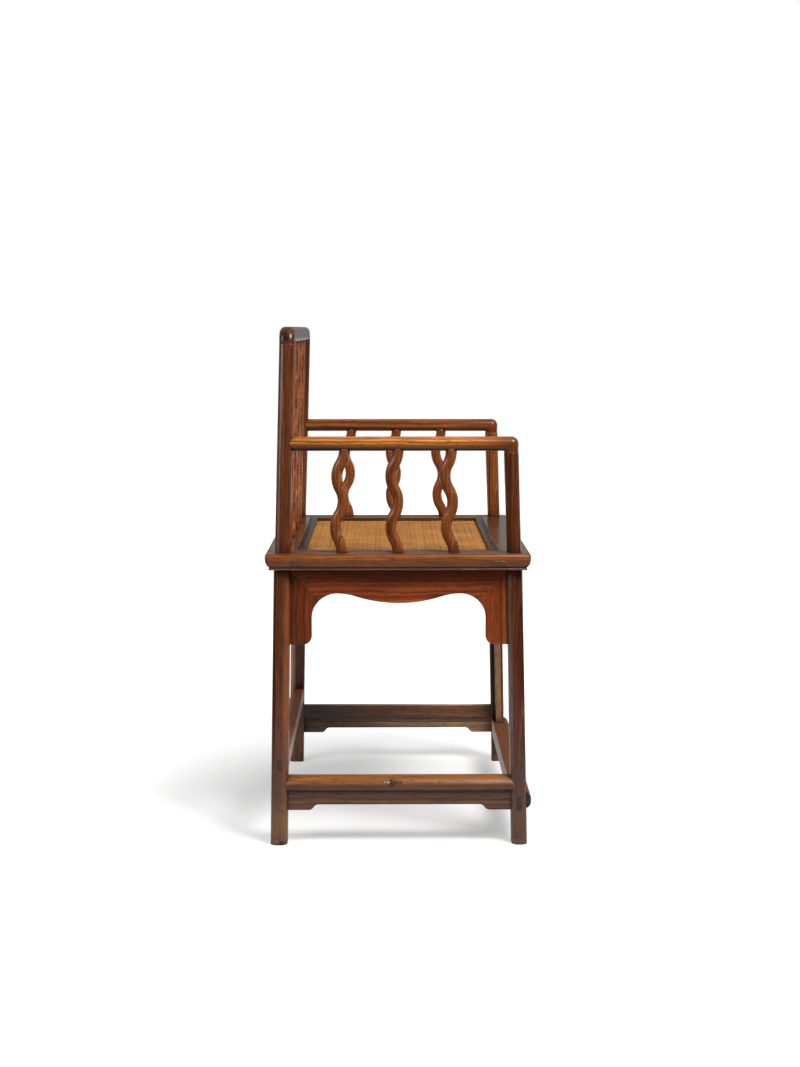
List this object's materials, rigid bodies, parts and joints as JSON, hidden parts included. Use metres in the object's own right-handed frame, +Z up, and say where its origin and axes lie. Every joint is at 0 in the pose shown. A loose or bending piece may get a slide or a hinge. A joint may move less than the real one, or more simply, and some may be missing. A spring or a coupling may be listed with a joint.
{
  "type": "low-back armchair",
  "caption": "Joined hardwood low-back armchair with wavy spindles in back and arms, a soft cane seat, waved aprons, rising stretchers and a footrest.",
  "frame": {"origin": "middle of the whole chair's box, on the floor", "axes": "+Z up, -Y the way the sitter faces, -X the sitter's right hand"},
  "size_m": [0.564, 0.441, 0.86],
  "materials": {
    "leg_wood": "rosewood legs and posts, waxed, worn brown-red",
    "rail_wood": "rosewood crest rail and arms, polished by hands to amber",
    "spindle_wood": "rosewood spindles, waxed orange-brown",
    "seat_wood": "rosewood seat frame and mat strips, waxed",
    "apron_wood": "rosewood aprons, waxed red-brown",
    "stretcher_wood": "rosewood stretchers and footrest, worn by feet",
    "inner_wood": "plain unpolished wood of the braces",
    "cane": "fine woven cane, golden tan",
    "palm_cord": "twisted palm fibre cord, dark brown",
    "bamboo": "bamboo pins, trimmed flush"
  },
  "bodies": {
    "root": {"apron_front": "apron_wood", "apron_front_ear_left": "apron_wood", "apron_front_ear_right": "apron_wood", "apron_left": "apron_wood", "apron_left_ear_front": "apron_wood", "apron_left_ear_rear": "apron_wood", "apron_rear": "apron_wood", "apron_rear_ear_left": "apron_wood", "apron_rear_ear_right": "apron_wood", "apron_right": "apron_wood", "apron_right_ear_front": "apron_wood", "apron_right_ear_rear": "apron_wood", "arm_left": "rail_wood", "arm_right": "rail_wood", "arm_spindle_left_1": "spindle_wood", "arm_spindle_left_2": "spindle_wood", "arm_spindle_left_3": "spindle_wood", "arm_spindle_right_1": "spindle_wood", "arm_spindle_right_2": "spindle_wood", "arm_spindle_right_3": "spindle_wood", "back_spindle_1": "spindle_wood", "back_spindle_2": "spindle_wood", "back_spindle_3": "spindle_wood", "back_spindle_4": "spindle_wood", "cane_mat": "cane", "crest_rail": "rail_wood", "footrest": "stretcher_wood", "footrest_apron": "apron_wood", "front_leg_left": "leg_wood", "front_leg_right": "leg_wood", "palm_webbing": "palm_cord", "rear_leg_left": "leg_wood", "rear_leg_right": "leg_wood", "seat_brace_left": "inner_wood", "seat_brace_right": "inner_wood", "seat_rail_front": "seat_wood", "seat_rail_left": "seat_wood", "seat_rail_rear": "seat_wood", "seat_rail_right": "seat_wood", "seat_strip_front": "seat_wood", "seat_strip_left": "seat_wood", "seat_strip_rear": "seat_wood", "seat_strip_right": "seat_wood", "stretcher_apron_left": "apron_wood", "stretcher_apron_right": "apron_wood", "stretcher_left": "stretcher_wood", "stretcher_rear": "stretcher_wood", "stretcher_right": "stretcher_wood", "strip_pins": "bamboo"}
  },
  "joints": []
}
